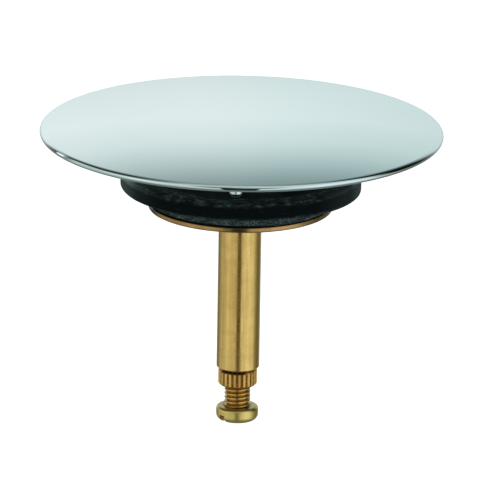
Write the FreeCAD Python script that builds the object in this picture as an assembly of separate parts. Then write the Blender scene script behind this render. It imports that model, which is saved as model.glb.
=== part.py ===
import FreeCAD, Part
import math
import os

# Bath drain stopper. A domed cover carries a boss on its underside. A stepped rubber seal sits on
# the boss's spigot and is clamped by a washer, which the guide stem draws up on a threaded stud.
# A height screw with a knurled lock nut closes the foot of the stem.
# Sizes are in millimetres. The origin is on the stem's axis at the washer's underside, +Z is up.

# Cover
cover_diameter = 75.0
cover_thickness = 1.3
dome_rise = 3.0
rim_above_seal = 7.0
boss_diameter = 22.0
boss_fillet = 2.0
boss_edge = 0.4
spigot_diameter = 12.0
spigot_short_of_washer = 0.4

# Stand-off nubs under the cover's rim
nub_count = 3
nub_diameter = 2.4
nub_height = 2.45
nub_from_rim = 4.0
nub_end_round = 0.9
first_nub_angle = -90.0

# Stepped rubber seal
lip_diameter = 44.9
lip_thickness = 3.4
lip_upper_round = 0.7
lip_lower_round = 0.55
ring_diameter = 34.3
ring_height = 3.0
ring_lower_round = 0.5
step_fillet = 1.0
seal_hole_clearance = 0.1

# Clamp washer
washer_diameter = 34.45
washer_thickness = 1.0
washer_edge = 0.15
washer_hole_clearance = 0.2

# Guide stem and the threaded stud that holds it to the boss
stem_diameter = 8.0
stem_length = 31.4
stem_foot_chamfer = 0.5
stem_top_chamfer = 0.2
stud_diameter = 6.0
stud_in_stem = 8.0
stud_in_boss = 10.5
stud_chamfer = 0.5
thread_clearance = 0.05
hole_mouth_chamfer = 0.3
stud_hole_run_out = 1.0
web_between_holes = 1.2

# Knurled lock nut
nut_diameter = 7.35
nut_height = 3.1
nut_chamfer = 0.35
knurl_teeth = 24
knurl_depth = 0.32
knurl_land_share = 0.22

# Height screw
screw_diameter = 4.85
screw_shown = 4.2
screw_lift_travel = 4.0
screw_tip_room = 0.4
screw_tip_chamfer = 0.5
head_diameter = 7.9
head_height = 2.75
head_lower_round = 1.2
head_upper_round = 0.45
slot_width = 1.2
slot_depth = 1.4
slot_angle = 45.0

# A drill leaves a cone of this height for each millimetre of its radius
drill_point = 1.0 / math.tan(math.radians(59.0))

# Radii
stem_radius = stem_diameter / 2
stud_radius = stud_diameter / 2
screw_radius = screw_diameter / 2
stud_hole_radius = stud_radius + thread_clearance
screw_hole_radius = screw_radius + thread_clearance
stud_mouth_radius = stud_hole_radius + hole_mouth_chamfer
screw_mouth_radius = screw_hole_radius + hole_mouth_chamfer
lip_radius = lip_diameter / 2
ring_radius = ring_diameter / 2

# Levels up the axis
washer_top = washer_thickness
seal_step = washer_top + ring_height
seal_top = seal_step + lip_thickness
rim_level = seal_top + rim_above_seal
spigot_end = washer_top + spigot_short_of_washer
stem_foot = -stem_length
nut_foot = stem_foot - nut_height
head_top = nut_foot - screw_shown
head_foot = head_top - head_height

# The two tapped holes in the stem leave a web between their drill points
stud_hole_foot = -(stud_in_stem + stud_hole_run_out)
stud_hole_tip = stud_hole_foot - drill_point * stud_hole_radius
screw_hole_tip = stud_hole_tip - web_between_holes
screw_hole_top = screw_hole_tip - drill_point * screw_hole_radius
screw_tip = screw_hole_top - screw_tip_room - screw_lift_travel


def point(radius, level):
    return FreeCAD.Vector(radius, 0, level)


def line(start, end):
    return Part.makeLine(point(*start), point(*end))


def arc(start, middle, end):
    return Part.Arc(point(*start), point(*middle), point(*end)).toShape()


def rounded(centre, radius, start_angle, end_angle):
    """A circular arc in the half section, with its angles measured up from the outward direction."""
    def on_arc(angle):
        turn = math.radians(angle)
        return (centre[0] + radius * math.cos(turn), centre[1] + radius * math.sin(turn))
    return arc(on_arc(start_angle), on_arc((start_angle + end_angle) / 2), on_arc(end_angle))


def turned(edges):
    """The solid that a closed half section makes when it is turned about the axis."""
    face = Part.Face(Part.Wire(edges))
    return face.revolve(FreeCAD.Vector(0, 0, 0), FreeCAD.Vector(0, 0, 1), 360)


def turned_outline(corners):
    """A turned solid whose half section has straight sides only."""
    sides = [line(a, b) for a, b in zip(corners, corners[1:] + corners[:1])]
    return turned(sides)


# Cover: a spherical shell of even thickness with a fully rounded rim
rim_round = cover_thickness / 2
rim_centre_radius = cover_diameter / 2 - rim_round
middle_radius = (rim_centre_radius ** 2 + dome_rise ** 2) / (2 * dome_rise)
dome_centre = rim_level + dome_rise - middle_radius
upper_radius = middle_radius + rim_round
lower_radius = middle_radius - rim_round
rim_angle = math.asin(rim_centre_radius / middle_radius)
boss_radius = boss_diameter / 2
spigot_radius = spigot_diameter / 2


def on_dome(radius, angle):
    """A point of a sphere about the dome's centre, with the angle measured from the axis."""
    return (radius * math.sin(angle), dome_centre + radius * math.cos(angle))


# The fillet's circle touches the boss's side and the inside of the dome
fillet_radius = boss_radius + boss_fillet
fillet_angle = math.asin(fillet_radius / (lower_radius - boss_fillet))
fillet_centre = on_dome(lower_radius - boss_fillet, fillet_angle)
fillet_start_angle = 90 - math.degrees(fillet_angle)

stud_top = spigot_end + stud_in_boss
boss_hole_top = stud_top + stud_hole_run_out
boss_hole_tip = boss_hole_top + drill_point * stud_hole_radius
rim_turn = math.degrees(rim_angle)
rim_centre = (rim_centre_radius, rim_level)

cover_disc = turned([
    arc(on_dome(upper_radius, 0), on_dome(upper_radius, rim_angle / 2), on_dome(upper_radius, rim_angle)),
    rounded(rim_centre, rim_round, 90 - rim_turn, -90 - rim_turn),
    arc(on_dome(lower_radius, rim_angle), on_dome(lower_radius, (rim_angle + fillet_angle) / 2),
        on_dome(lower_radius, fillet_angle)),
    rounded(fillet_centre, boss_fillet, fillet_start_angle, 180),
    line((boss_radius, fillet_centre[1]), (boss_radius, seal_top + boss_edge)),
    line((boss_radius, seal_top + boss_edge), (boss_radius - boss_edge, seal_top)),
    line((boss_radius - boss_edge, seal_top), (spigot_radius, seal_top)),
    line((spigot_radius, seal_top), (spigot_radius, spigot_end)),
    line((spigot_radius, spigot_end), (stud_mouth_radius, spigot_end)),
    line((stud_mouth_radius, spigot_end), (stud_hole_radius, spigot_end + hole_mouth_chamfer)),
    line((stud_hole_radius, spigot_end + hole_mouth_chamfer), (stud_hole_radius, boss_hole_top)),
    line((stud_hole_radius, boss_hole_top), (0, boss_hole_tip)),
    line((0, boss_hole_tip), on_dome(upper_radius, 0)),
])

# Nubs: short pegs with a rounded end, rooted half way through the shell
nub_radius = nub_diameter / 2
nub_circle_radius = cover_diameter / 2 - nub_from_rim
nub_root = dome_centre + math.sqrt(middle_radius ** 2 - nub_circle_radius ** 2)
nub_foot = nub_root - rim_round - nub_height
nub = turned([
    line((0, nub_root), (nub_radius, nub_root)),
    line((nub_radius, nub_root), (nub_radius, nub_foot + nub_end_round)),
    rounded((nub_radius - nub_end_round, nub_foot + nub_end_round), nub_end_round, 0, -90),
    line((nub_radius - nub_end_round, nub_foot), (0, nub_foot)),
    line((0, nub_foot), (0, nub_root)),
])
nub.translate(FreeCAD.Vector(nub_circle_radius, 0, 0))
for index in range(nub_count):
    placed = nub.copy()
    angle = first_nub_angle + index * 360.0 / nub_count
    placed.rotate(FreeCAD.Vector(0, 0, 0), FreeCAD.Vector(0, 0, 1), angle)
    cover_disc = cover_disc.fuse(placed)

# Seal: a wide lip over a narrower ring, with one hole that fits the spigot
seal_hole_radius = spigot_radius + seal_hole_clearance
profile_seal = turned([
    line((seal_hole_radius, washer_top), (ring_radius - ring_lower_round, washer_top)),
    rounded((ring_radius - ring_lower_round, washer_top + ring_lower_round), ring_lower_round, -90, 0),
    line((ring_radius, washer_top + ring_lower_round), (ring_radius, seal_step - step_fillet)),
    rounded((ring_radius + step_fillet, seal_step - step_fillet), step_fillet, 180, 90),
    line((ring_radius + step_fillet, seal_step), (lip_radius - lip_lower_round, seal_step)),
    rounded((lip_radius - lip_lower_round, seal_step + lip_lower_round), lip_lower_round, -90, 0),
    line((lip_radius, seal_step + lip_lower_round), (lip_radius, seal_top - lip_upper_round)),
    rounded((lip_radius - lip_upper_round, seal_top - lip_upper_round), lip_upper_round, 0, 90),
    line((lip_radius - lip_upper_round, seal_top), (seal_hole_radius, seal_top)),
    line((seal_hole_radius, seal_top), (seal_hole_radius, washer_top)),
])

# Washer: a flat ring with broken outer edges
washer_radius = washer_diameter / 2
washer_hole_radius = stud_radius + washer_hole_clearance
clamp_washer = turned_outline([
    (washer_hole_radius, 0),
    (washer_radius - washer_edge, 0),
    (washer_radius, washer_edge),
    (washer_radius, washer_top - washer_edge),
    (washer_radius - washer_edge, washer_top),
    (washer_hole_radius, washer_top),
])

# Stud: a threaded rod that is screwed into the boss and into the stem
stud_foot = -stud_in_stem
threaded_stud = turned_outline([
    (0, stud_foot),
    (stud_radius - stud_chamfer, stud_foot),
    (stud_radius, stud_foot + stud_chamfer),
    (stud_radius, stud_top - stud_chamfer),
    (stud_radius - stud_chamfer, stud_top),
    (0, stud_top),
])

# Stem: a round bar with a tapped hole in each end
stem = turned_outline([
    (stud_hole_radius, -hole_mouth_chamfer),
    (stud_mouth_radius, 0),
    (stem_radius - stem_top_chamfer, 0),
    (stem_radius, -stem_top_chamfer),
    (stem_radius, stem_foot + stem_foot_chamfer),
    (stem_radius - stem_foot_chamfer, stem_foot),
    (screw_mouth_radius, stem_foot),
    (screw_hole_radius, stem_foot + hole_mouth_chamfer),
    (screw_hole_radius, screw_hole_top),
    (0, screw_hole_tip),
    (0, stud_hole_tip),
    (stud_hole_radius, stud_hole_foot),
])

# Lock nut: straight knurled teeth on a ring with chamfered ends
nut_radius = nut_diameter / 2
knurl_root_radius = nut_radius - knurl_depth
tooth_step = 360.0 / knurl_teeth
half_land = tooth_step * knurl_land_share / 2
knurl_corners = []
for index in range(knurl_teeth):
    for offset, radius in ((-half_land, nut_radius), (half_land, nut_radius),
                           (tooth_step / 2 - half_land, knurl_root_radius),
                           (tooth_step / 2 + half_land, knurl_root_radius)):
        turn = math.radians(index * tooth_step + offset)
        knurl_corners.append(FreeCAD.Vector(radius * math.cos(turn), radius * math.sin(turn), nut_foot))
knurl_outline = Part.makePolygon(knurl_corners + knurl_corners[:1])
knurled_bar = Part.Face(knurl_outline).extrude(FreeCAD.Vector(0, 0, nut_height))
nut_ring = turned_outline([
    (screw_hole_radius, nut_foot + hole_mouth_chamfer),
    (screw_mouth_radius, nut_foot),
    (nut_radius - nut_chamfer, nut_foot),
    (nut_radius, nut_foot + nut_chamfer),
    (nut_radius, stem_foot - nut_chamfer),
    (nut_radius - nut_chamfer, stem_foot),
    (screw_mouth_radius, stem_foot),
    (screw_hole_radius, stem_foot - hole_mouth_chamfer),
])
lock_nut = nut_ring.common(knurled_bar)

# Height screw: a threaded shank and a cheese head with a slot across its underside
head_radius = head_diameter / 2
adjusting_screw = turned([
    line((0, screw_tip), (screw_radius - screw_tip_chamfer, screw_tip)),
    line((screw_radius - screw_tip_chamfer, screw_tip), (screw_radius, screw_tip - screw_tip_chamfer)),
    line((screw_radius, screw_tip - screw_tip_chamfer), (screw_radius, head_top)),
    line((screw_radius, head_top), (head_radius - head_upper_round, head_top)),
    rounded((head_radius - head_upper_round, head_top - head_upper_round), head_upper_round, 90, 0),
    line((head_radius, head_top - head_upper_round), (head_radius, head_foot + head_lower_round)),
    rounded((head_radius - head_lower_round, head_foot + head_lower_round), head_lower_round, 0, -90),
    line((head_radius - head_lower_round, head_foot), (0, head_foot)),
    line((0, head_foot), (0, screw_tip)),
])
slot_corner = FreeCAD.Vector(-head_diameter, -slot_width / 2, head_foot - slot_depth)
slot = Part.makeBox(2 * head_diameter, slot_width, 2 * slot_depth, slot_corner)
slot.rotate(FreeCAD.Vector(0, 0, 0), FreeCAD.Vector(0, 0, 1), slot_angle)
adjusting_screw = adjusting_screw.cut(slot)

# One file for each piece
pieces = {
    "cover_disc": cover_disc,
    "profile_seal": profile_seal,
    "clamp_washer": clamp_washer,
    "threaded_stud": threaded_stud,
    "stem": stem,
    "lock_nut": lock_nut,
    "adjusting_screw": adjusting_screw,
}
os.makedirs("parts", exist_ok=True)
for name, shape in pieces.items():
    shape.exportStep("parts/" + name + ".step")
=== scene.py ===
import math

import bmesh
import bpy
from mathutils import Matrix, Vector, noise


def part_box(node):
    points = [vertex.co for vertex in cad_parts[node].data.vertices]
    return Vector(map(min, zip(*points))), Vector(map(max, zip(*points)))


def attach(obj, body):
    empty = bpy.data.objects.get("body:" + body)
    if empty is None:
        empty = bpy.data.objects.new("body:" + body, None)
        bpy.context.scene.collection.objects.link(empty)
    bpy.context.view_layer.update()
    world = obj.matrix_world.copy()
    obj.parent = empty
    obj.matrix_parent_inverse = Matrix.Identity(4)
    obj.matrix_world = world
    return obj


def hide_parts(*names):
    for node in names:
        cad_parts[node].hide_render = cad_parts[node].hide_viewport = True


# Bath drain stopper: chrome cover on a stepped rubber seal, brass washer, guide stem, lock nut and screw.
# All lengths are in metres, and those in millimetres are written with mm.
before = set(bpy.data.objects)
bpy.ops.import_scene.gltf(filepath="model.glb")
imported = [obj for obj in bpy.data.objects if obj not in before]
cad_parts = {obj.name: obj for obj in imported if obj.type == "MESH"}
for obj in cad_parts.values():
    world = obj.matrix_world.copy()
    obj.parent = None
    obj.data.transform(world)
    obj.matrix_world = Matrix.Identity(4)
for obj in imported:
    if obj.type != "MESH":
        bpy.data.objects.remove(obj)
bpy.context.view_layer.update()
mm = 0.001

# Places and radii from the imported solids
cover_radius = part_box("cover_disc")[1].x
crown_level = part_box("cover_disc")[1].z
seal_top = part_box("profile_seal")[1].z
lip_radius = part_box("profile_seal")[1].x
washer_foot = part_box("clamp_washer")[0].z
washer_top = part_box("clamp_washer")[1].z
washer_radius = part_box("clamp_washer")[1].x
stud_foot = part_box("threaded_stud")[0].z
stud_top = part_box("threaded_stud")[1].z
stud_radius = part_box("threaded_stud")[1].x
stem_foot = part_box("stem")[0].z
stem_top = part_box("stem")[1].z
stem_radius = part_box("stem")[1].x
nut_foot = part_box("lock_nut")[0].z
nut_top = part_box("lock_nut")[1].z
nut_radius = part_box("lock_nut")[1].x
head_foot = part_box("adjusting_screw")[0].z
screw_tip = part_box("adjusting_screw")[1].z
head_radius = 3.95 * mm

# Cover
cover_thickness = 1.3 * mm
dome_rise = 3.0 * mm
boss_radius = 11.0 * mm
boss_fillet = 2.0 * mm
boss_edge = 0.4 * mm
spigot_radius = 6.0 * mm
spigot_end = washer_top + 0.4 * mm
nub_count = 3
nub_radius = 1.2 * mm
nub_height = 2.45 * mm
nub_circle_radius = cover_radius - 4.0 * mm
nub_end_round = 0.9 * mm
first_nub_angle = -90.0
rim_round = cover_thickness / 2
rim_centre_radius = cover_radius - rim_round
middle_radius = (rim_centre_radius ** 2 + dome_rise ** 2) / (2 * dome_rise)
dome_centre = crown_level - rim_round - middle_radius
rim_level = crown_level - rim_round - dome_rise
rim_turn = math.degrees(math.asin(rim_centre_radius / middle_radius))
lower_radius = middle_radius - rim_round
nub_root = dome_centre + math.sqrt(middle_radius ** 2 - nub_circle_radius ** 2)
nub_foot = nub_root - rim_round - nub_height

# Seal
ring_radius = 17.15 * mm
seal_step = washer_top + 3.0 * mm
lip_upper_round = 0.7 * mm
lip_lower_round = 0.55 * mm
lip_hang = 0.55 * mm
hang_angle = 8.0
ring_lower_round = 0.5 * mm
step_fillet = 1.0 * mm
seal_hole_radius = spigot_radius + 0.1 * mm

# Washer
washer_hole_radius = stud_radius + 0.2 * mm
washer_die_roll = 0.3 * mm
washer_burr = 0.08 * mm

# Stem and its two tapped holes
stem_foot_chamfer = 0.5 * mm
stem_top_chamfer = 0.2 * mm
thread_clearance = 0.05 * mm
mouth_chamfer = 0.3 * mm
hole_run_out = 1.0 * mm
web_between_holes = 1.2 * mm
drill_point = 1.0 / math.tan(math.radians(59.0))
stud_hole_radius = stud_radius + thread_clearance

# Lock nut
nut_chamfer = 0.35 * mm
knurl_teeth = 24
knurl_depth = 0.32 * mm
knurl_turn = 0.5  # of a tooth, as the photograph shows the nut
points_per_tooth = 12

# Height screw
screw_radius = 2.425 * mm
screw_hole_radius = screw_radius + thread_clearance
screw_pitch = 0.8 * mm
screw_thread_depth = 0.42 * mm
screw_tip_chamfer = 0.5 * mm
head_top = head_foot + 2.75 * mm
head_lower_round = 1.2 * mm
head_upper_round = 0.6 * mm
head_fillet = 0.2 * mm
slot_width = 1.2 * mm
slot_depth = 1.4 * mm
slot_angle = 45.0

# Stud
stud_pitch = 1.0 * mm
stud_thread_depth = 0.58 * mm
stud_chamfer = 0.65 * mm

# Threads: the rod that cuts one to length stands outside it, and points nearer than a distance are welded
thread_envelope = 0.02 * mm
weld_distance = 0.005 * mm


# Mesh helpers

def arc(centre, radius, start, end, steps):
    """Points of a circular arc in the half section, with angles in degrees up from the outward direction."""
    points = []
    for step in range(steps + 1):
        turn = math.radians(start + (end - start) * step / steps)
        points.append((centre[0] + radius * math.cos(turn), centre[1] + radius * math.sin(turn)))
    return points


def divided(outline, spacing):
    """The same closed outline with extra points on stretches longer than the spacing."""
    points = []
    for here, there in zip(outline, outline[1:] + outline[:1]):
        steps = max(1, math.ceil(math.dist(here, there) / spacing))
        for step in range(steps):
            share = step / steps
            points.append((here[0] + (there[0] - here[0]) * share, here[1] + (there[1] - here[1]) * share))
    return points


def new_object(name, vertices, faces):
    mesh = bpy.data.meshes.new(name)
    mesh.from_pydata(vertices, [], faces)
    mesh.validate()
    made = bpy.data.objects.new(name, mesh)
    bpy.context.scene.collection.objects.link(made)
    return made


def turned(name, outline, segments, form=None):
    """A closed mesh turned about the axis from a closed half section of (radius, level) points.
    The section runs up on its outer side. form, where given, takes an angle, radius and level and returns
    the radius and level of that point."""
    vertices = []
    rings = []
    for radius, level in outline:
        if radius < 1e-9:
            rings.append([len(vertices)] * segments)
            vertices.append((0.0, 0.0, level))
            continue
        rings.append(list(range(len(vertices), len(vertices) + segments)))
        for segment in range(segments):
            angle = 2 * math.pi * segment / segments
            place = form(angle, radius, level) if form else (radius, level)
            vertices.append((place[0] * math.cos(angle), place[0] * math.sin(angle), place[1]))
    faces = []
    for low, high in zip(rings, rings[1:] + rings[:1]):
        for segment in range(segments):
            after = (segment + 1) % segments
            corners = [low[segment], low[after], high[after], high[segment]]
            corners = list(dict.fromkeys(corners))
            if len(corners) > 2:
                faces.append(corners)
    return new_object(name, vertices, faces)


def threaded_rod(name, radius, depth, pitch, low, high, segments=64):
    """A right-handed rolled thread with rounded crests that reaches past both levels, as one closed mesh."""
    root_share = 0.12
    flank_share = 0.30
    steps = 6
    easing = [0.5 - 0.5 * math.cos(math.pi * step / steps) for step in range(steps + 1)]
    section = []
    for step in range(steps + 1):
        section.append((root_share + flank_share * step / steps, radius - depth * (1 - easing[step])))
    for step in range(steps + 1):
        section.append((1 - flank_share * (1 - step / steps), radius - depth * easing[step]))
    per_turn = len(section)
    turns = math.ceil((high - low) / pitch) + 3
    base = low - 2 * pitch
    vertices = []
    for row in range(turns * per_turn + 1):
        share, height = section[row % per_turn]
        for segment in range(segments):
            angle = 2 * math.pi * segment / segments
            level = base + pitch * (row // per_turn + share + segment / segments)
            vertices.append((height * math.cos(angle), height * math.sin(angle), level))
    rows = turns * per_turn - per_turn

    def index(row, segment):
        return (row + per_turn * (segment // segments)) * segments + segment % segments

    faces = []
    for row in range(rows):
        for segment in range(segments):
            faces.append([index(row, segment), index(row, segment + 1),
                          index(row + 1, segment + 1), index(row + 1, segment)])
    for row, upward in ((0, False), (rows, True)):
        edge = [index(row, segment) for segment in range(segments)]
        edge += [index(row + step, 0) for step in range(per_turn, 0, -1)]
        centre = len(vertices)
        vertices.append((0.0, 0.0, base + pitch * (row / per_turn + 0.5)))
        for here, there in zip(edge, edge[1:] + edge[:1]):
            faces.append([here, there, centre] if upward else [there, here, centre])
    used = sorted({corner for face in faces for corner in face})
    renamed = {old: new for new, old in enumerate(used)}
    faces = [[renamed[corner] for corner in face] for face in faces]
    return new_object(name, [vertices[old] for old in used], faces)


def combined(base, other, operation):
    """Cuts, joins or intersects base with another mesh, which is used up, and welds near points."""
    modifier = base.modifiers.new("combine", "BOOLEAN")
    modifier.operation = operation
    modifier.solver = "EXACT"
    modifier.object = other
    graph = bpy.context.evaluated_depsgraph_get()
    mesh = bpy.data.meshes.new_from_object(base.evaluated_get(graph))
    base.modifiers.clear()
    base.data = mesh
    bpy.data.objects.remove(other)
    shape = bmesh.new()
    shape.from_mesh(mesh)
    bmesh.ops.remove_doubles(shape, verts=shape.verts, dist=weld_distance)
    bmesh.ops.dissolve_degenerate(shape, edges=shape.edges, dist=weld_distance)
    shape.to_mesh(mesh)
    shape.free()
    return base


def uneven(place, size, amount):
    """A smooth irregular length, at most the amount either way, that changes over about the size."""
    return amount * noise.noise(place / size)


def on_axis_point(angle, radius, level):
    return Vector((radius * math.cos(angle), radius * math.sin(angle), level))


def dressed(piece, body, node, material, sharp_angle=30):
    """Shades a piece, gives it its material, ties it to its body, and hides the CAD part of its node."""
    piece.data.shade_smooth()
    piece.data.set_sharp_from_angle(angle=math.radians(sharp_angle))
    piece.data.materials.clear()
    piece.data.materials.append(material)
    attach(piece, body)
    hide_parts(node)
    return piece


# Node helpers

def add_node(tree, kind, inputs=None, **settings):
    """A new node with its settings, whose inputs are values or other nodes' outputs."""
    made = tree.nodes.new(kind)
    for name, value in settings.items():
        setattr(made, name, value)
    for name, value in (inputs or {}).items():
        if isinstance(value, bpy.types.NodeSocket):
            tree.links.new(value, made.inputs[name])
        else:
            made.inputs[name].default_value = value
    return made


def maths(tree, operation, first, second=0.0):
    return add_node(tree, "ShaderNodeMath", {0: first, 1: second}, operation=operation).outputs[0]


def spread(tree, value, low, high, to_low=0.0, to_high=1.0, smooth=True):
    """The value carried from one range to another, and held at its ends."""
    kind = "SMOOTHSTEP" if smooth else "LINEAR"
    inputs = {"Value": value, "From Min": low, "From Max": high, "To Min": to_low, "To Max": to_high}
    return add_node(tree, "ShaderNodeMapRange", inputs, interpolation_type=kind).outputs["Result"]


def blended(tree, share, first, second):
    """A colour between two others."""
    inputs = {0: share, 6: first, 7: second}
    return add_node(tree, "ShaderNodeMix", inputs, data_type="RGBA").outputs[2]


def clouds(tree, place, size, detail=3.0, roughness=0.55):
    """Soft noise between 0 and 1 that changes over about the size."""
    inputs = {"Vector": place, "Scale": 1 / size, "Detail": detail, "Roughness": roughness}
    return add_node(tree, "ShaderNodeTexNoise", inputs).outputs["Fac"]


def ring_clouds(tree, place, radius, size, longer):
    """Soft noise between 0 and 1 that changes over about the size, drawn out round the axis by a factor."""
    along = stretched(tree, place, (1 / longer, 1 / longer, 1.0))
    inputs = {"Vector": along, "W": radius, "Scale": 1 / size, "Detail": 3.0, "Roughness": 0.6}
    return add_node(tree, "ShaderNodeTexNoise", inputs, noise_dimensions="4D").outputs["Fac"]


def stretched(tree, place, factors):
    """The coordinates multiplied along each axis."""
    inputs = {0: place, 1: factors}
    return add_node(tree, "ShaderNodeVectorMath", inputs, operation="MULTIPLY").outputs["Vector"]


def own_place(tree):
    return add_node(tree, "ShaderNodeTexCoord").outputs["Object"]


def ring_place(tree, place):
    """Coordinates that are the same all round the axis: the radius and the level."""
    parts = add_node(tree, "ShaderNodeSeparateXYZ", {0: place})
    squares = [maths(tree, "MULTIPLY", parts.outputs[axis], parts.outputs[axis]) for axis in ("X", "Y")]
    radius = maths(tree, "SQRT", maths(tree, "ADD", *squares))
    ring = add_node(tree, "ShaderNodeCombineXYZ", {"X": radius, "Y": parts.outputs["Z"]})
    return ring.outputs[0], radius, parts.outputs["Z"]


def new_material(name):
    material = bpy.data.materials.new(name)
    material.use_nodes = True
    return material, material.node_tree, material.node_tree.nodes["Principled BSDF"]


def join(tree, value, shader, name):
    tree.links.new(value, shader.inputs[name])


# Materials

def chrome_material():
    """Bright plate: a mirror on top and round the rim, and a duller turned finish on the underside."""
    material, tree, shader = new_material("chrome_plate")
    place = own_place(tree)
    ring = ring_place(tree, place)[0]
    facing = add_node(tree, "ShaderNodeTexCoord").outputs["Normal"]
    upward = add_node(tree, "ShaderNodeSeparateXYZ", {0: facing}).outputs["Z"]
    underside = spread(tree, upward, -0.70, -0.92)
    haze = clouds(tree, place, 9 * mm, 4.0)
    polished = spread(tree, haze, 0.35, 0.75, 0.02, 0.05)
    lathe_lines = clouds(tree, ring, 0.12 * mm, 2.0)
    satin = spread(tree, lathe_lines, 0.3, 0.7, 0.24, 0.36)
    rough = add_node(tree, "ShaderNodeMix", {0: underside, 2: polished, 3: satin}).outputs[0]
    join(tree, rough, shader, "Roughness")
    bright = blended(tree, haze, (0.735, 0.825, 0.82, 1), (0.75, 0.835, 0.83, 1))
    dull = blended(tree, lathe_lines, (0.42, 0.47, 0.47, 1), (0.50, 0.56, 0.56, 1))
    join(tree, blended(tree, underside, bright, dull), shader, "Base Color")
    height = maths(tree, "MULTIPLY", lathe_lines, underside)
    bump = add_node(tree, "ShaderNodeBump", {"Height": height, "Strength": 0.2, "Distance": 0.01 * mm})
    join(tree, bump.outputs[0], shader, "Normal")
    shader.inputs["Metallic"].default_value = 1.0
    return material


def nub_material():
    """Polished plate with faint marks on each nub's side, and its rounded end painted near-black."""
    material, tree, shader = new_material("nub_plate")
    place = own_place(tree)
    level = ring_place(tree, place)[2]
    marks = clouds(tree, place, 0.4 * mm, 3.0)
    # The end is painted near-black.
    end = spread(tree, level, nub_foot + 0.92 * nub_end_round, nub_foot + 0.78 * nub_end_round)
    plate = blended(tree, marks, (0.68, 0.76, 0.78, 1), (0.78, 0.85, 0.87, 1))
    join(tree, blended(tree, end, plate, (0.03, 0.04, 0.04, 1)), shader, "Base Color")
    join(tree, spread(tree, marks, 0.3, 0.7, 0.14, 0.26), shader, "Roughness")
    shader.inputs["Metallic"].default_value = 1.0
    return material


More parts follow.
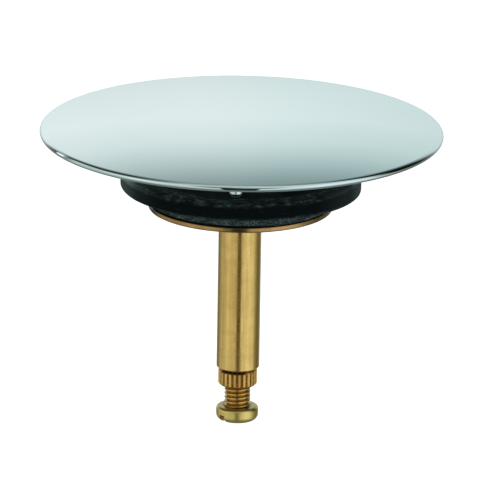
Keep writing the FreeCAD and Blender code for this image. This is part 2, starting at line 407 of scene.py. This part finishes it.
def rubber_material():
    """Black moulded rubber, with dust and scuffs on the lip's upper edge and on the ring. The dust on the top
    face is painted lighter to stand in for light, the lip's two ends carry a painted sheen, the top face
    further in is painted blacker as shade under the cover, and at the left and middle the ring's foot is kept
    black as a painted line of shade above the washer.
    """
    material, tree, shader = new_material("black_rubber")
    place = own_place(tree)
    radius, level = ring_place(tree, place)[1:]
    broad = clouds(tree, place, 5 * mm, 3.0)
    patches = clouds(tree, place, 3.2 * mm, 3.0)
    streaks = ring_clouds(tree, place, radius, 0.42 * mm, 4.0)
    scratches = ring_clouds(tree, place, radius, 0.22 * mm, 5.0)
    east = add_node(tree, "ShaderNodeSeparateXYZ", {0: place}).outputs["X"]
    specks = clouds(tree, place, 0.26 * mm, 3.0, 0.65)
    below_top = spread(tree, level, seal_top - 1.4 * mm, seal_top - 0.5 * mm)
    near_edge = spread(tree, radius, lip_radius - 3.8 * mm, lip_radius - 2.2 * mm)
    upper_edge = maths(tree, "MULTIPLY", below_top, near_edge)
    upper_edge = maths(tree, "MULTIPLY", upper_edge, spread(tree, patches, 0.38, 0.60, 0.3, 1.0))
    on_top = spread(tree, level, seal_top - 0.5 * mm, seal_top - 0.2 * mm)
    on_ring = spread(tree, level, seal_step + 0.5 * mm, seal_step - 0.6 * mm)
    # Painted shade: at the left and middle the ring's foot is kept free of dust, leaving a dark line of shade
    # above the washer.
    painted_shade_at_foot = spread(tree, east, 3 * mm, 10 * mm, 1.0, 0.0)
    off_foot = spread(tree, level, washer_top + 0.2 * mm, washer_top + 0.6 * mm)
    off_foot = maths(tree, "MAXIMUM", off_foot, maths(tree, "SUBTRACT", 1.0, painted_shade_at_foot))
    on_ring = maths(tree, "MULTIPLY", on_ring, off_foot)
    mottled = maths(tree, "MULTIPLY", spread(tree, streaks, 0.45, 0.70, 0.06, 0.46), upper_edge)
    scuffs = maths(tree, "MULTIPLY", spread(tree, scratches, 0.60, 0.72, 0.0, 1.0), upper_edge)
    scuffs = maths(tree, "MAXIMUM", scuffs, mottled)
    dust = maths(tree, "MULTIPLY", spread(tree, specks, 0.40, 0.68, 0.12, 1.0), on_ring)
    dust = maths(tree, "MULTIPLY", dust, spread(tree, streaks, 0.38, 0.62, 0.5, 1.0))
    dust = maths(tree, "MULTIPLY", dust, spread(tree, patches, 0.36, 0.58, 0.55, 1.0))
    off_top = spread(tree, on_top, 0.0, 1.0, 0.06, 0.0)
    faint = maths(tree, "MULTIPLY", spread(tree, streaks, 0.56, 0.72), off_top)
    worn = maths(tree, "MAXIMUM", maths(tree, "MAXIMUM", scuffs, dust), faint)
    # The film is a painted sheen: the lip's outer edge is painted lighter towards its two ends, where it
    # turns away at a grazing angle.
    film = maths(tree, "MULTIPLY", spread(tree, below_top, 0.0, 1.0, 0.3, 1.0), near_edge)
    off_middle = maths(tree, "ABSOLUTE", east)
    sheen_at_ends = spread(tree, off_middle, 14 * mm, 21 * mm, 0.02, 0.26)
    sheen_at_left = spread(tree, east, -18.5 * mm, -21.6 * mm, 0.0, 0.62)
    sheen_at_right = spread(tree, east, 20.4 * mm, 22 * mm, 0.0, 0.55)
    sheen_at_ends = maths(tree, "ADD", sheen_at_ends, maths(tree, "ADD", sheen_at_left, sheen_at_right))
    film = maths(tree, "MULTIPLY", film, sheen_at_ends)
    # From here worn holds the wear and the painted sheen.
    worn = maths(tree, "MAXIMUM", worn, film)
    # Painted shade: the top face further in, under the cover, is painted blacker.
    inner = spread(tree, radius, lip_radius - 3.4 * mm, lip_radius - 4.6 * mm)
    painted_shade_under_cover = maths(tree, "MULTIPLY", on_top, inner)
    black = blended(tree, broad, (0.0028, 0.0052, 0.0055, 1), (0.0055, 0.0092, 0.0098, 1))
    black = blended(tree, painted_shade_under_cover, black, (0.0004, 0.0012, 0.0014, 1))
    # Dust grey, painted lighter on the top face to stand in for the light that the cover keeps off it.
    dust_grey_with_painted_light = blended(tree, on_top, (0.27, 0.35, 0.35, 1), (0.46, 0.60, 0.60, 1))
    colour = blended(tree, worn, black, dust_grey_with_painted_light)
    join(tree, colour, shader, "Base Color")
    join(tree, spread(tree, worn, 0.0, 1.0, 0.48, 0.8, False), shader, "Roughness")
    grain = maths(tree, "ADD", specks, maths(tree, "MULTIPLY", streaks, 1.5))
    bump = add_node(tree, "ShaderNodeBump", {"Height": grain, "Strength": 0.5, "Distance": 0.03 * mm})
    join(tree, bump.outputs[0], shader, "Normal")
    shader.inputs["Specular IOR Level"].default_value = 0.008
    shader.inputs["Sheen Weight"].default_value = 0.06
    shader.inputs["Sheen Roughness"].default_value = 0.35
    shader.inputs["Sheen Tint"].default_value = (0.68, 0.95, 1.0, 1)
    return material


def brass_material(name, light, dark, dirt_and_shade, stain_and_shade, drawn, smooth, rough, dull=None):
    """Bare brass, with lines along the axis where it is drawn and round it where it is turned.
    dirt_and_shade and stain_and_shade are pairs of a colour and a function of the node tree, a place, its
    radius and its level that returns how much of it lies there; they carry grime and staining as well as
    painted shade. dull, where given, is such a function for the roughness to add."""
    material, tree, shader = new_material(name)
    place = own_place(tree)
    ring, radius, level = ring_place(tree, place)
    if drawn:
        lines = clouds(tree, stretched(tree, place, (1.0, 1.0, 0.02)), 0.35 * mm, 4.0, 0.7)
    else:
        lines = clouds(tree, ring, 0.1 * mm, 3.0, 0.7)
    tarnish = clouds(tree, place, 2.5 * mm, 4.0, 0.6)
    mixed = maths(tree, "ADD", maths(tree, "MULTIPLY", lines, 0.6), maths(tree, "MULTIPLY", tarnish, 0.4))
    metal = blended(tree, spread(tree, mixed, 0.36, 0.64), dark, light)
    spots = clouds(tree, place, 0.5 * mm, 3.0, 0.6)
    soiled_and_shaded = dirt_and_shade[1](tree, place, radius, level)
    soiled_and_shaded = maths(tree, "MULTIPLY", soiled_and_shaded, spread(tree, spots, 0.3, 0.6, 0.6, 1.0))
    soiled_and_shaded = maths(tree, "MAXIMUM", soiled_and_shaded, spread(tree, spots, 0.70, 0.76, 0.0, 0.6))
    stained_and_shaded = stain_and_shade[1](tree, place, radius, level)
    colour = blended(tree, stained_and_shaded, blended(tree, soiled_and_shaded, metal, dirt_and_shade[0]), stain_and_shade[0])
    join(tree, colour, shader, "Base Color")
    polish = spread(tree, mixed, 0.35, 0.65, rough, smooth)
    polish = maths(tree, "ADD", polish, maths(tree, "MULTIPLY", soiled_and_shaded, 0.15))
    if dull:
        polish = maths(tree, "ADD", polish, dull(tree, place, radius, level))
    join(tree, polish, shader, "Roughness")
    bump = add_node(tree, "ShaderNodeBump", {"Height": lines, "Strength": 0.2, "Distance": 0.01 * mm})
    join(tree, bump.outputs[0], shader, "Normal")
    shader.inputs["Metallic"].default_value = 1.0
    return material


# Painted shade on the bottom chamfer, where the stem meets the nut.
def stem_foot_painted_shade(tree, place, radius, level):
    return spread(tree, level, stem_foot + 0.45 * mm, stem_foot + 0.05 * mm)


def stem_specks(tree, place, radius, level):
    """Small dark specks scattered over the bar."""
    return spread(tree, clouds(tree, place, 0.3 * mm, 2.0), 0.69, 0.74, 0.0, 0.7)


def washer_top_painted_shade(tree, place, radius, level):
    """Painted shade along the upper edge at the front, below the ring."""
    east = add_node(tree, "ShaderNodeSeparateXYZ", {0: place}).outputs["X"]
    at_front = spread(tree, maths(tree, "ABSOLUTE", east), 12 * mm, 3 * mm, 0.25, 1.0)
    upper = spread(tree, level, washer_top - 0.3 * mm, washer_top - 0.05 * mm)
    return maths(tree, "MULTIPLY", at_front, upper)


def washer_stain(tree, place, radius, level):
    """A dark film on the edge: at both sides, wider and patchy on the right, and in front of the stem."""
    east = add_node(tree, "ShaderNodeSeparateXYZ", {0: place}).outputs["X"]
    patches = spread(tree, clouds(tree, place, 1.3 * mm, 3.0), 0.42, 0.58, 0.0, 0.4)
    right = maths(tree, "MULTIPLY", patches, spread(tree, east, 9.5 * mm, 12.5 * mm))
    left = spread(tree, east, -14.4 * mm, -16.2 * mm, 0.0, 0.9)
    off_middle = maths(tree, "ABSOLUTE", maths(tree, "ADD", east, 0.7 * mm))
    middle = spread(tree, off_middle, 3.0 * mm, 1.4 * mm, 0.0, 0.62)
    both = maths(tree, "MAXIMUM", left, right)
    at_edge = spread(tree, radius, washer_radius - 1.6 * mm, washer_radius - 0.5 * mm)
    return maths(tree, "MULTIPLY", at_edge, maths(tree, "MAXIMUM", both, middle))


def nut_dirt(tree, place, radius, level):
    """In the grooves of the knurl."""
    return spread(tree, radius, nut_radius - 0.08 * mm, nut_radius - 0.9 * knurl_depth)


def nut_top_painted_shade(tree, place, radius, level):
    """Painted shade on one side of the top, where the nut meets the stem."""
    towards = (math.sin(math.radians(-15.0)), -math.cos(math.radians(-15.0)), 0.0)
    nearness = add_node(tree, "ShaderNodeVectorMath", {0: place, 1: towards}, operation="DOT_PRODUCT")
    amount = spread(tree, nearness.outputs["Value"], 0.62 * nut_radius, 0.80 * nut_radius)
    upper = spread(tree, level, nut_top - 0.55 * mm, nut_top - 0.22 * mm)
    return maths(tree, "MULTIPLY", upper, amount)


def screw_dirt_and_shade(tree, place, radius, level):
    """Grime in the roots of the thread, painted shade with grime round its foot on the head, and darker in
    the slot.
    """
    groove = (screw_radius - 0.5 * screw_thread_depth, screw_radius - 0.95 * screw_thread_depth)
    roots = spread(tree, radius, *groove, 0.42, 1.0)
    on_thread = spread(tree, level, head_top - 0.02 * mm, head_top + 0.02 * mm)
    # Painted shade with grime round the thread's foot on the head's top.
    foot = spread(tree, radius, screw_radius + 0.5 * mm, screw_radius + 0.1 * mm)
    foot = maths(tree, "MULTIPLY", foot, spread(tree, level, head_top - 0.1 * mm, head_top - 0.02 * mm))
    foot = maths(tree, "MULTIPLY", foot, spread(tree, level, head_top + 0.3 * mm, head_top + 0.05 * mm))
    turn = math.radians(slot_angle)
    across_slot = (-math.sin(turn), math.cos(turn), 0.0)
    across = add_node(tree, "ShaderNodeVectorMath", {0: place, 1: across_slot}, operation="DOT_PRODUCT")
    across = maths(tree, "ABSOLUTE", across.outputs["Value"])
    slot = spread(tree, across, slot_width / 2 + 0.06 * mm, slot_width / 2 + 0.02 * mm)
    slot_top = head_foot + slot_depth
    slot = maths(tree, "MULTIPLY", slot, spread(tree, level, slot_top + 0.1 * mm, slot_top, 0.0, 0.7))
    roots = maths(tree, "MULTIPLY", roots, on_thread)
    return maths(tree, "MAXIMUM", maths(tree, "MAXIMUM", roots, foot), slot)


def head_stain(tree, place, radius, level):
    """A dull film on the head's upper face."""
    on_face = spread(tree, level, head_top - 0.25 * mm, head_top - 0.03 * mm)
    off_thread = spread(tree, radius, screw_radius, screw_radius + 0.1 * mm)
    return maths(tree, "MULTIPLY", maths(tree, "MULTIPLY", on_face, off_thread), 0.6)


def head_dull(tree, place, radius, level):
    """The head is coarser than the thread."""
    return spread(tree, level, head_top + 0.05 * mm, head_top - 0.05 * mm, 0.0, 0.08)


chrome = chrome_material()
nub_chrome = nub_material()
rubber = rubber_material()
# The stem's dark brown (0.07, 0.035, 0.01) is painted shade on its bottom chamfer, where it meets the nut.
stem_brass = brass_material(
    "drawn_brass", (0.89, 0.585, 0.200, 1), (0.735, 0.46, 0.135, 1), ((0.07, 0.035, 0.01, 1), stem_foot_painted_shade),
    ((0.25, 0.14, 0.03, 1), stem_specks), True, 0.15, 0.30)
# The washer's brown (0.15, 0.09, 0.035) is painted shade along its upper edge at the front.
washer_brass = brass_material(
    "stamped_brass", (0.60, 0.335, 0.13, 1), (0.37, 0.20, 0.075, 1), ((0.15, 0.09, 0.035, 1), washer_top_painted_shade),
    ((0.105, 0.095, 0.07, 1), washer_stain), False, 0.16, 0.30)
# The nut's near-black (0.06, 0.025, 0.008) is painted shade on the top at the front left, where the stem
# meets it.
nut_brass = brass_material(
    "knurled_brass", (1.0, 0.61, 0.21, 1), (0.88, 0.52, 0.145, 1), ((0.30, 0.13, 0.022, 1), nut_dirt),
    ((0.06, 0.025, 0.008, 1), nut_top_painted_shade), False, 0.36, 0.50)
# The screw's brown (0.42, 0.16, 0.016) is grime in the thread's roots and painted shade round the thread's
# foot on the head, and it darkens the slot.
screw_brass = brass_material(
    "turned_brass", (0.90, 0.67, 0.24, 1), (0.75, 0.53, 0.145, 1), ((0.42, 0.16, 0.016, 1), screw_dirt_and_shade),
    ((0.25, 0.23, 0.10, 1), head_stain), False, 0.19, 0.31, head_dull)


# Cover: a spherical shell with a rounded rim, a boss and a spigot with a tapped hole

def cover():
    fillet_reach = lower_radius - boss_fillet
    fillet_turn = math.degrees(math.asin((boss_radius + boss_fillet) / fillet_reach))
    fillet_centre = arc((0, dome_centre), fillet_reach, 90 - fillet_turn, 0, 1)[0]
    hole_top = stud_top + hole_run_out
    near_rim = rim_turn * 0.995
    upper = middle_radius + rim_round
    outline = [
        (0.0, hole_top + drill_point * stud_hole_radius),
        (stud_hole_radius, hole_top),
        (stud_hole_radius, spigot_end + mouth_chamfer),
        (stud_hole_radius + mouth_chamfer, spigot_end),
        (spigot_radius, spigot_end),
        (spigot_radius, seal_top),
        (boss_radius - boss_edge, seal_top),
        (boss_radius, seal_top + boss_edge),
    ]
    outline += arc(fillet_centre, boss_fillet, 180, 90 - fillet_turn, 10)
    outline += arc((0, dome_centre), lower_radius, 90 - fillet_turn, 90 - rim_turn, 40)[1:]
    outline += arc((rim_centre_radius, rim_level), rim_round, -90 - rim_turn, 90 - rim_turn, 40)[1:]
    outline += arc((0, dome_centre), upper, 90 - near_rim, 90, 60)
    return turned("cover", outline, 360)


def nub(number):
    outline = [(0.0, nub_foot)]
    outline += arc((nub_radius - nub_end_round, nub_foot + nub_end_round), nub_end_round, -90, 0, 10)
    outline += [(nub_radius, nub_root), (0.0, nub_root)]
    made = turned(f"cover_nub_{number}", outline, 64)
    angle = math.radians(first_nub_angle + (number - 1) * 360 / nub_count)
    place = Vector((nub_circle_radius * math.cos(angle), nub_circle_radius * math.sin(angle), 0))
    made.data.transform(Matrix.Translation(place))
    return made


dressed(cover(), "stopper", "cover_disc", chrome)
for number in range(1, nub_count + 1):
    dressed(nub(number), "stopper", "cover_disc", nub_chrome)


# Seal: a wide lip over a narrower ring, a little uneven all over, whose lip hangs lower on one side

def seal_form(angle, radius, level):
    place = on_axis_point(angle, radius, level)
    outward = uneven(place, 7 * mm, 0.03 * mm) + uneven(place, 1.1 * mm, 0.025 * mm)
    reach = max(0.0, (radius - ring_radius) / (lip_radius - ring_radius))
    hang = lip_hang * reach * (1 + math.cos(angle - math.radians(hang_angle))) / 2
    return radius - 0.03 * mm + outward, level - hang


def seal():
    ring_low = (ring_radius - ring_lower_round, washer_top + ring_lower_round)
    lip_low = (lip_radius - lip_lower_round, seal_step + lip_lower_round)
    lip_high = (lip_radius - lip_upper_round, seal_top - lip_upper_round)
    outline = [(seal_hole_radius, washer_top)]
    outline += arc(ring_low, ring_lower_round, -90, 0, 6)
    outline += arc((ring_radius + step_fillet, seal_step - step_fillet), step_fillet, 180, 90, 8)
    outline += arc(lip_low, lip_lower_round, -90, 0, 6)
    outline += arc(lip_high, lip_upper_round, 0, 90, 8)
    outline += [(seal_hole_radius, seal_top)]
    return turned("seal", divided(outline, 0.5 * mm), 288, seal_form)


dressed(seal(), "stopper", "profile_seal", rubber)


# Washer: stamped, with its lower edge rolled by the die and its upper edge sharp and uneven

def washer_form(angle, radius, level):
    if radius < washer_radius - 2 * washer_die_roll:
        return radius, level
    place = on_axis_point(angle, radius, level)
    return radius - 0.03 * mm + uneven(place, 3 * mm, 0.03 * mm), level


def washer():
    outline = [(washer_hole_radius, washer_foot)]
    edge_low = (washer_radius - washer_die_roll, washer_foot + washer_die_roll)
    outline += arc(edge_low, washer_die_roll, -90, 0, 8)
    outline += [(washer_radius, washer_top - washer_burr), (washer_radius - washer_burr, washer_top)]
    outline += [(washer_hole_radius, washer_top)]
    return turned("washer", divided(outline, 1.0 * mm), 288, washer_form)


dressed(washer(), "stopper", "clamp_washer", washer_brass)


# Stud: a threaded rod that joins the boss and the stem

def chamfered_rod(name, radius, low, high, low_chamfer, high_chamfer):
    outline = [(0.0, low), (radius - low_chamfer, low), (radius, low + low_chamfer)]
    outline += [(radius, high - high_chamfer), (radius - high_chamfer, high), (0.0, high)]
    return turned(name, outline, 96)


around_stud = stud_radius + thread_envelope
stud_end = chamfered_rod("stud_end", around_stud, stud_foot, stud_top, stud_chamfer, stud_chamfer)
stud = threaded_rod("stud", stud_radius, stud_thread_depth, stud_pitch, stud_foot, stud_top)
dressed(combined(stud, stud_end, "INTERSECT"), "stopper", "threaded_stud", stem_brass)


# Stem: drawn round bar with a tapped hole in each end

def stem():
    stud_hole_foot = stud_foot - hole_run_out
    stud_hole_tip = stud_hole_foot - drill_point * stud_hole_radius
    screw_hole_tip = stud_hole_tip - web_between_holes
    outline = [
        (0.0, screw_hole_tip),
        (screw_hole_radius, screw_hole_tip - drill_point * screw_hole_radius),
        (screw_hole_radius, stem_foot + mouth_chamfer),
        (screw_hole_radius + mouth_chamfer, stem_foot),
        (stem_radius - stem_foot_chamfer, stem_foot),
        (stem_radius, stem_foot + stem_foot_chamfer),
        (stem_radius, stem_top - stem_top_chamfer),
        (stem_radius - stem_top_chamfer, stem_top),
        (stud_hole_radius + mouth_chamfer, stem_top),
        (stud_hole_radius, stem_top - mouth_chamfer),
        (stud_hole_radius, stud_hole_foot),
        (0.0, stud_hole_tip),
    ]
    return turned("guide_stem", outline, 192)


dressed(stem(), "stopper", "stem", stem_brass)


# Lock nut: straight knurled teeth, each a little different, with chamfered ends

def knurl_form(angle, radius, level):
    around = angle / (2 * math.pi) * knurl_teeth + knurl_turn
    tooth = round(around) % knurl_teeth
    off_centre = abs(around - round(around))
    rise = min(1.0, max(0.0, (0.40 - off_centre) / 0.24))
    rise = rise * rise * (3 - 2 * rise)
    worn = 0.02 * mm * (1 + noise.noise(Vector((tooth * 1.7, 0.5, 0.5))))
    reach = nut_radius - worn - knurl_depth * (1 - rise)
    return min(radius, reach), level


def nut():
    outline = [
        (screw_hole_radius, nut_foot + mouth_chamfer),
        (screw_hole_radius + mouth_chamfer, nut_foot),
        (nut_radius - nut_chamfer, nut_foot),
        (nut_radius, nut_foot + nut_chamfer),
        (nut_radius, nut_top - nut_chamfer),
        (nut_radius - nut_chamfer, nut_top),
        (screw_hole_radius + mouth_chamfer, nut_top),
        (screw_hole_radius, nut_top - mouth_chamfer),
    ]
    return turned("knurled_nut", divided(outline, 0.09 * mm), knurl_teeth * points_per_tooth, knurl_form)


dressed(nut(), "nut", "lock_nut", nut_brass)


# Height screw: a thread on a cheese head with a slot across its underside

def screw_head():
    outline = [(0.0, head_foot)]
    head_low = (head_radius - head_lower_round, head_foot + head_lower_round)
    outline += arc(head_low, head_lower_round, -90, 0, 14)
    outline += arc((head_radius - head_upper_round, head_top - head_upper_round), head_upper_round, 0, 90, 12)
    core = screw_radius - screw_thread_depth
    outline += arc((core + head_fillet, head_top + head_fillet), head_fillet, -90, -180, 5)
    outline += [(0.0, head_top + head_fillet)]
    return turned("screw", outline, 128)


def slot_cutter():
    reach = 2 * head_radius
    half = slot_width / 2
    flare = 0.08 * mm
    top = head_foot + slot_depth
    below = head_foot - slot_depth
    section = [(-half - slot_depth, below), (half + slot_depth, below), (half + flare, head_foot)]
    section += [(half, head_foot + flare), (half, top), (-half, top), (-half, head_foot + flare)]
    section += [(-half - flare, head_foot)]
    corners = len(section)
    vertices = [(x, y, z) for x in (-reach, reach) for y, z in section]
    faces = [list(range(corners - 1, -1, -1)), list(range(corners, 2 * corners))]
    for here in range(corners):
        after = (here + 1) % corners
        faces.append([here, after, after + corners, here + corners])
    cutter = new_object("slot_cutter", vertices, faces)
    cutter.data.transform(Matrix.Rotation(math.radians(slot_angle), 4, "Z"))
    return cutter


def screw():
    head = combined(screw_head(), slot_cutter(), "DIFFERENCE")
    around_thread = screw_radius + thread_envelope
    inside_head = head_top - 0.3 * mm
    envelope = chamfered_rod("screw_end", around_thread, inside_head, screw_tip, 0.0, screw_tip_chamfer)
    thread = threaded_rod("screw_thread", screw_radius, screw_thread_depth, screw_pitch, head_top, screw_tip)
    return combined(head, combined(thread, envelope, "INTERSECT"), "UNION")


dressed(screw(), "screw", "adjusting_screw", screw_brass)


# Studio: a wide white floor far below, and soft light all round the object
# Azimuths are in degrees, 0 towards the camera and positive to its right. Elevations are in degrees too.

camera_azimuth = 1.46
camera_elevation = 15.987
camera_roll = 0.93
camera_distance = 1.5
camera_lens = 606.1
aim_level = 15.015 * mm
aim_column = 241.68
aim_row = 129.22
picture_side = 480
gap_azimuth = 1.1
gap_half_width = 10.8
strip_azimuth = -121.0
strip_half_width = 4.0
floor_level = -2.5
floor_reach = 30.0


def cool(brightness):
    """A bluish green white, stronger in its darker tones."""
    return (brightness * (0.80 + 0.17 * brightness ** 3), brightness, 0.995 * brightness)


def side_light(azimuth, brightness):
    """A cool white, a little bluer on the right where it is bright, and warmer there where it is dim."""
    if azimuth < 0:
        return (0.90 * brightness, brightness, 0.95 * brightness)
    green = (0.965 + 0.065 * brightness) * brightness
    blue = (0.68 + 0.45 * brightness) * brightness
    return (0.90 * brightness, green, blue)


def ramp(tree, value, low, high, stops, tint):
    """A colour ramp over a value, whose stops are pairs of a place between low and high and a brightness.
    tint makes a colour from a place and a brightness."""
    made = add_node(tree, "ShaderNodeValToRGB", {0: spread(tree, value, low, high, smooth=False)})
    made.color_ramp.interpolation = "LINEAR"
    elements = made.color_ramp.elements
    elements[0].position = 0.0
    elements[1].position = 1.0
    for place, brightness in stops:
        share = (place - low) / (high - low)
        if share <= 0:
            element = elements[0]
        elif share >= 1:
            element = elements[len(elements) - 1]
        else:
            element = elements.new(share)
        element.color = (*tint(place, brightness), 1)
    return made.outputs[0]


def scaled(tree, colour, factor):
    return add_node(tree, "ShaderNodeVectorMath", {0: colour, "Scale": factor}, operation="SCALE").outputs[0]


def tinted(tree, first, second):
    """One colour multiplied by another."""
    return add_node(tree, "ShaderNodeVectorMath", {0: first, 1: second}, operation="MULTIPLY").outputs[0]


def studio_light():
    """Two soft boxes at the front with a dark gap between them, a dim ceiling with a soft light overhead,
    and a bright wall behind."""
    world = bpy.data.worlds.new("studio")
    bpy.context.scene.world = world
    world.use_nodes = True
    tree = world.node_tree
    tree.nodes.clear()
    direction = add_node(tree, "ShaderNodeTexCoord").outputs["Generated"]
    parts = add_node(tree, "ShaderNodeSeparateXYZ", {0: direction})
    east, north, up = (parts.outputs[axis] for axis in ("X", "Y", "Z"))
    azimuth = maths(tree, "ARCTAN2", east, maths(tree, "MULTIPLY", north, -1.0))
    azimuth = maths(tree, "DEGREES", azimuth)
    elevation = maths(tree, "DEGREES", maths(tree, "ARCSINE", up))
    sideways = maths(tree, "ABSOLUTE", azimuth)
    around = ramp(tree, azimuth, -180, 180, [
        (-180, 0.6), (-158, 0.35), (-140, 0.14), (-118, 0.42), (-104, 0.57), (-88, 0.53), (-75, 0.63),
        (-60, 0.79), (-47, 0.74), (-36, 0.63), (-27, 0.70), (-18, 0.70), (-9, 0.68), (11, 0.74),
        (20, 0.80), (28, 0.86), (36, 0.83), (50, 0.98), (56, 0.90), (62, 0.93), (81, 0.82), (91, 0.64),
        (98, 0.47), (106, 0.29), (116, 0.18), (126, 0.17), (140, 0.20), (158, 0.5), (180, 0.6)], side_light)
    off_gap = maths(tree, "ABSOLUTE", maths(tree, "SUBTRACT", azimuth, gap_azimuth))
    in_gap = spread(tree, off_gap, gap_half_width + 1.2, gap_half_width - 1.2)
    in_gap = maths(tree, "MULTIPLY", in_gap, spread(tree, elevation, 38, 32))
    in_gap = maths(tree, "MULTIPLY", in_gap, spread(tree, elevation, -58, -50))
    level_with_bar = spread(tree, maths(tree, "ABSOLUTE", maths(tree, "ADD", elevation, 16)), 6, 3)
    gap = blended(tree, level_with_bar, (0.004, 0.010, 0.011, 1), (0.11, 0.066, 0.012, 1))
    above_bar = spread(tree, elevation, 0, 34, smooth=False)
    above_bar = maths(tree, "MULTIPLY", above_bar, spread(tree, azimuth, -8, 5, 0.25, 1.0))
    gap = blended(tree, above_bar, gap, (0.36, 0.42, 0.42, 1))
    beside_gap = spread(tree, off_gap, 34, 15, 0.0, 0.8)
    beside_gap = maths(tree, "MULTIPLY", beside_gap, spread(tree, elevation, 0, 8))
    beside_gap = maths(tree, "MULTIPLY", beside_gap, spread(tree, elevation, 36, 31))
    raised = maths(tree, "MULTIPLY", spread(tree, azimuth, -18, -36), spread(tree, elevation, -12, -3))
    around = blended(tree, raised, around, scaled(tree, around, 1.22))
    off_strip = maths(tree, "ABSOLUTE", maths(tree, "SUBTRACT", azimuth, strip_azimuth))
    strip = spread(tree, off_strip, strip_half_width + 1.5, strip_half_width - 1.5)
    strip = maths(tree, "MULTIPLY", strip, spread(tree, elevation, -13, -9))
    strip = maths(tree, "MULTIPLY", strip, spread(tree, elevation, 24, 14))
    tilt = spread(tree, east, -0.02, 0.06, 0.0, 1.4, smooth=False)
    wall = ramp(tree, maths(tree, "ADD", elevation, tilt), -20, 90, [
        (-20, 0.3), (-12, 0.5), (-3, 0.77), (-1.2, 0.79), (7.2, 0.862), (17, 0.928), (24.3, 0.855),
        (27.4, 0.757), (30.3, 0.622), (33, 0.470), (34.6, 0.383), (38, 0.31), (60, 0.28), (72, 0.31),
        (84, 0.42), (90, 0.43)],
        lambda place, brightness: cool(brightness))
    lean = ramp(tree, east, -0.12, 0.088, [
        (-0.12, (1.08, 1.05, 1.06)), (-0.0965, (1.06, 1.04, 1.05)), (-0.045, (1.085, 1.045, 1.058)),
        (-0.025, (1.045, 1.035, 1.043)), (0.0, (0.995, 1.01, 1.02)), (0.05, (0.915, 0.95, 0.958)),
        (0.088, (0.86, 0.90, 0.905))], lambda place, colour: colour)
    wall = tinted(tree, wall, lean)
    wall_width = ramp(tree, sideways, 100, 180, [
        (100, 0.01), (122, 0.01), (128, 0.12), (134, 0.3), (142, 0.85), (150, 1.0), (180, 1.0)],
        lambda place, brightness: (brightness, brightness, brightness))
    wall_width = blended(tree, spread(tree, elevation, 58, 70), wall_width, (1.0, 1.0, 1.0, 1))
    wall = tinted(tree, wall, wall_width)
    wall = blended(tree, strip, wall, (1.15, 1.25, 1.25, 1))
    ceiling = ramp(tree, azimuth, -180, 180, [
        (-180, 0.3), (-158, 0.3), (-130, 0.05), (-112, 0.03), (-80, 0.07), (-66, 0.19), (-50, 0.42),
        (-35, 0.66), (-20, 0.64), (5, 0.64), (15, 0.78), (52, 0.72), (75, 0.62), (86, 0.42), (96, 0.22),
        (108, 0.11), (127, 0.07), (150, 0.15), (158, 0.27), (180, 0.3)],
        lambda place, brightness: cool(brightness))
    overhead = maths(tree, "ADD", elevation, spread(tree, azimuth, 55, 85, 0.0, 18.0))
    ceiling = blended(tree, spread(tree, overhead, 64, 76), ceiling, (*cool(0.43), 1))
    behind = maths(tree, "MAXIMUM", spread(tree, azimuth, 76, 98), spread(tree, azimuth, -104, -122))
    above = spread(tree, elevation, -13, -5)
    light = blended(tree, spread(tree, elevation, 18, 32), around, ceiling)
    light = blended(tree, maths(tree, "MULTIPLY", behind, above), light, wall)
    light = blended(tree, spread(tree, elevation, -19, -56), light, (0.18, 0.22, 0.21, 1))
    light = blended(tree, beside_gap, light, (0.02, 0.03, 0.03, 1))
    light = blended(tree, in_gap, light, gap)
    light = blended(tree, spread(tree, elevation, 76, 90), light, (*cool(0.80), 1))
    seen = add_node(tree, "ShaderNodeLightPath").outputs["Is Camera Ray"]
    light = blended(tree, seen, light, (1.0, 1.0, 1.0, 1))
    background = add_node(tree, "ShaderNodeBackground", {"Color": light, "Strength": 1.0})
    add_node(tree, "ShaderNodeOutputWorld", {"Surface": background.outputs[0]})


def floor():
    corners = [(-floor_reach, -floor_reach), (floor_reach, -floor_reach)]
    corners += [(floor_reach, floor_reach), (-floor_reach, floor_reach)]
    made = new_object("floor", [(x, y, floor_level) for x, y in corners], [[0, 1, 2, 3]])
    material, tree, shader = new_material("white_floor")
    grain = clouds(tree, own_place(tree), 0.5)
    join(tree, blended(tree, grain, (0.90, 0.90, 0.90, 1), (0.93, 0.93, 0.93, 1)), shader, "Base Color")
    shader.inputs["Emission Color"].default_value = (1, 1, 1, 1)
    shader.inputs["Emission Strength"].default_value = 0.8
    made.data.materials.append(material)
    made.visible_glossy = False
    made.visible_diffuse = False
    made.visible_shadow = False


def camera():
    data = bpy.data.cameras.new("camera")
    data.lens = camera_lens
    data.sensor_width = 36.0
    made = bpy.data.objects.new("camera", data)
    bpy.context.scene.collection.objects.link(made)
    side = math.radians(camera_azimuth)
    lift = math.radians(camera_elevation)
    back = Vector((math.sin(side) * math.cos(lift), -math.cos(side) * math.cos(lift), math.sin(lift)))
    turn = (-back).to_track_quat("-Z", "Y").to_matrix() @ Matrix.Rotation(math.radians(camera_roll), 3, "Z")
    focal_pixels = data.lens / data.sensor_width * picture_side
    seen = Vector((aim_column - picture_side / 2, picture_side / 2 - aim_row, -focal_pixels))
    turn = turn @ seen.rotation_difference(Vector((0, 0, -1))).to_matrix()
    place = Vector((0, 0, aim_level)) + back * camera_distance
    made.matrix_world = Matrix.Translation(place) @ turn.to_4x4()
    bpy.context.scene.camera = made


studio_light()
floor()
camera()
bpy.context.scene.view_settings.view_transform = "Standard"
bpy.context.scene.view_settings.look = "None"
